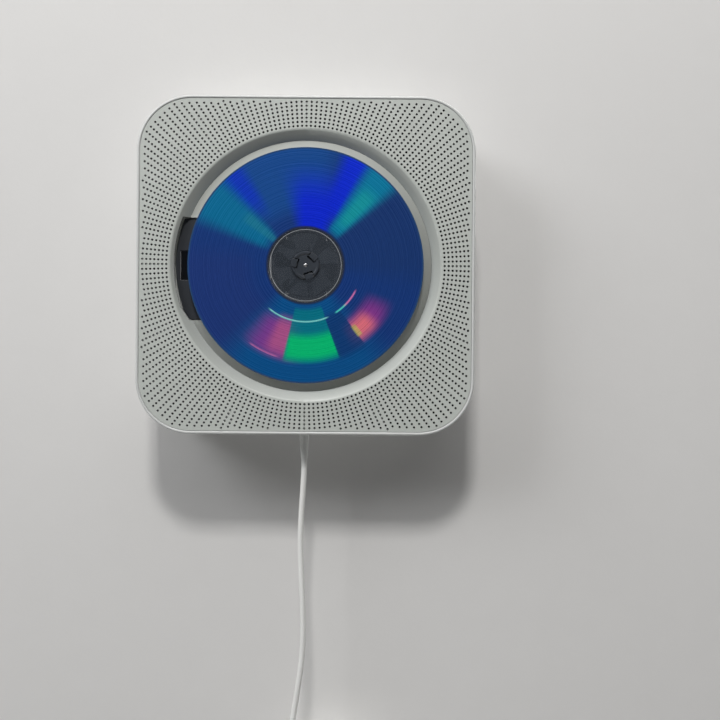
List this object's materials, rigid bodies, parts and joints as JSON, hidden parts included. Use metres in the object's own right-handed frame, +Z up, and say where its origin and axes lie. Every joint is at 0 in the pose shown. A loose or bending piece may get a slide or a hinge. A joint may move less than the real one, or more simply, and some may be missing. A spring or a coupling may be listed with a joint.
{
  "type": "wall mounted disc player",
  "caption": "Square white wall player with a perforated front, an exposed disc in a round well, a black pickup deck, a wall bracket and a pull-switch lead.",
  "frame": {"origin": "middle of the wall bracket's back face, half way between its two screws", "axes": "+X right and +Z up as seen by someone facing the wall, -Y out from the wall"},
  "size_m": [0.172, 0.041, 0.3941],
  "materials": {
    "case_plastic": "fine satin, white",
    "button_plastic": "satin, white",
    "deck_plastic": "matt, near black",
    "hub_plastic": "semi-gloss, near black",
    "disc_plastic": "polished, diffracting grooves",
    "gear_plastic": "natural white",
    "chip_plastic": "matt black",
    "cord_vinyl": "soft white vinyl",
    "pad_rubber": "matt",
    "bracket_steel": "white powder coat",
    "screw_steel": "zinc",
    "motor_steel": "plated",
    "bright_steel": "polished",
    "lens_glass": "coated",
    "cone_paper": "black paper",
    "board_laminate": "green laminate"
  },
  "bodies": {
    "bracket": {"wall_bracket": "bracket_steel"},
    "player": {"rear_cover": "case_plastic", "rear_pads": "pad_rubber", "case_screws": "screw_steel", "case_shell": "case_plastic", "front_frame": "case_plastic", "front_grille": "case_plastic", "disc_well": "case_plastic", "deck_cover": "deck_plastic", "mechanism_chassis": "deck_plastic", "chassis_dampers": "pad_rubber", "guide_rods": "bright_steel", "spindle_motor": "motor_steel", "sled_motor": "motor_steel", "speaker_frames": "motor_steel", "speaker_cones": "cone_paper", "speaker_magnets": "motor_steel", "main_board": "board_laminate", "board_parts": "chip_plastic", "board_screws": "screw_steel", "button_board": "board_laminate", "tact_switches": "chip_plastic", "headphone_jack": "chip_plastic", "cord_bushing": "case_plastic", "pull_guide": "deck_plastic", "pull_switch": "chip_plastic", "pull_spring": "bright_steel"},
    "turntable": {"turntable": "hub_plastic", "spindle_shaft": "bright_steel"},
    "disc": {"disc": "disc_plastic"},
    "hub_claw_a": {"hub_claw_a": "hub_plastic"},
    "hub_claw_b": {"hub_claw_b": "hub_plastic"},
    "hub_claw_c": {"hub_claw_c": "hub_plastic"},
    "pickup": {"pickup_sled": "deck_plastic", "pickup_rack": "gear_plastic", "pickup_lens": "lens_glass"},
    "sled_gear": {"sled_gear": "gear_plastic"},
    "motor_pinion": {"motor_pinion": "gear_plastic"},
    "button_power": {"button_power": "button_plastic"},
    "button_volume_down": {"button_volume_down": "button_plastic"},
    "button_volume_up": {"button_volume_up": "button_plastic"},
    "button_previous": {"button_previous": "button_plastic"},
    "button_play": {"button_play": "button_plastic"},
    "button_next": {"button_next": "button_plastic"},
    "pull_cord": {"pull_plunger": "gear_plastic", "strain_relief": "cord_vinyl", "cord_hang": "cord_vinyl", "cord_coil": "cord_vinyl", "cord_tie": "pad_rubber", "plug": "chip_plastic", "plug_barrel": "bright_steel"}
  },
  "joints": [
    {"name": "lift_off", "type": "slide", "parent": "bracket", "child": "player", "axis": [0, 0, 1], "range_m": [0, 0.012]},
    {"name": "turntable_spin", "type": "hinge", "parent": "player", "child": "turntable", "pos_m": [0, -0.038, 0], "axis": [0, -1, 0], "continuous": true},
    {"name": "disc_pull", "type": "slide", "parent": "turntable", "child": "disc", "axis": [0, -1, 0], "range_m": [0, 0.03]},
    {"name": "claw_a_push", "type": "slide", "parent": "turntable", "child": "hub_claw_a", "axis": [-0.6691, 0, -0.7431], "range_m": [0, 0.0006], "stiffness_N_per_m": 500, "springref_m": -0.0004},
    {"name": "claw_b_push", "type": "slide", "parent": "turntable", "child": "hub_claw_b", "axis": [0.9781, 0, -0.2079], "range_m": [0, 0.0006], "stiffness_N_per_m": 500, "springref_m": -0.0004},
    {"name": "claw_c_push", "type": "slide", "parent": "turntable", "child": "hub_claw_c", "axis": [-0.309, 0, 0.9511], "range_m": [0, 0.0006], "stiffness_N_per_m": 500, "springref_m": -0.0004},
    {"name": "sled_run", "type": "slide", "parent": "player", "child": "pickup", "axis": [-1, 0, 0], "range_m": [0, 0.034]},
    {"name": "sled_gear_spin", "type": "hinge", "parent": "player", "child": "sled_gear", "pos_m": [-0.032, -0.024, -0.0232], "axis": [0, -1, 0], "range_deg": [-3, 545]},
    {"name": "motor_pinion_spin", "type": "hinge", "parent": "player", "child": "motor_pinion", "pos_m": [-0.0188, -0.0219, -0.0232], "axis": [0, -1, 0], "range_deg": [-1850, 10]},
    {"name": "button_power_press", "type": "slide", "parent": "player", "child": "button_power", "axis": [0, 0, -1], "range_m": [0, 0.0008], "stiffness_N_per_m": 400, "springref_m": -0.001},
    {"name": "button_volume_down_press", "type": "slide", "parent": "player", "child": "button_volume_down", "axis": [0, 0, -1], "range_m": [0, 0.0008], "stiffness_N_per_m": 400, "springref_m": -0.001},
    {"name": "button_volume_up_press", "type": "slide", "parent": "player", "child": "button_volume_up", "axis": [0, 0, -1], "range_m": [0, 0.0008], "stiffness_N_per_m": 400, "springref_m": -0.001},
    {"name": "button_previous_press", "type": "slide", "parent": "player", "child": "button_previous", "axis": [0, 0, -1], "range_m": [0, 0.0008], "stiffness_N_per_m": 400, "springref_m": -0.001},
    {"name": "button_play_press", "type": "slide", "parent": "player", "child": "button_play", "axis": [0, 0, -1], "range_m": [0, 0.0008], "stiffness_N_per_m": 400, "springref_m": -0.001},
    {"name": "button_next_press", "type": "slide", "parent": "player", "child": "button_next", "axis": [0, 0, -1], "range_m": [0, 0.0008], "stiffness_N_per_m": 400, "springref_m": -0.001},
    {"name": "cord_pull", "type": "slide", "parent": "player", "child": "pull_cord", "axis": [0, 0, -1], "range_m": [0, 0.006], "stiffness_N_per_m": 300, "springref_m": -0.004, "deforming": ["pull_spring"]}
  ],
  "couplings": [
    {"joint": "sled_gear_spin", "follows": "sled_run", "rad_per_m": 277.78},
    {"joint": "motor_pinion_spin", "follows": "sled_run", "rad_per_m": -944.44}
  ]
}
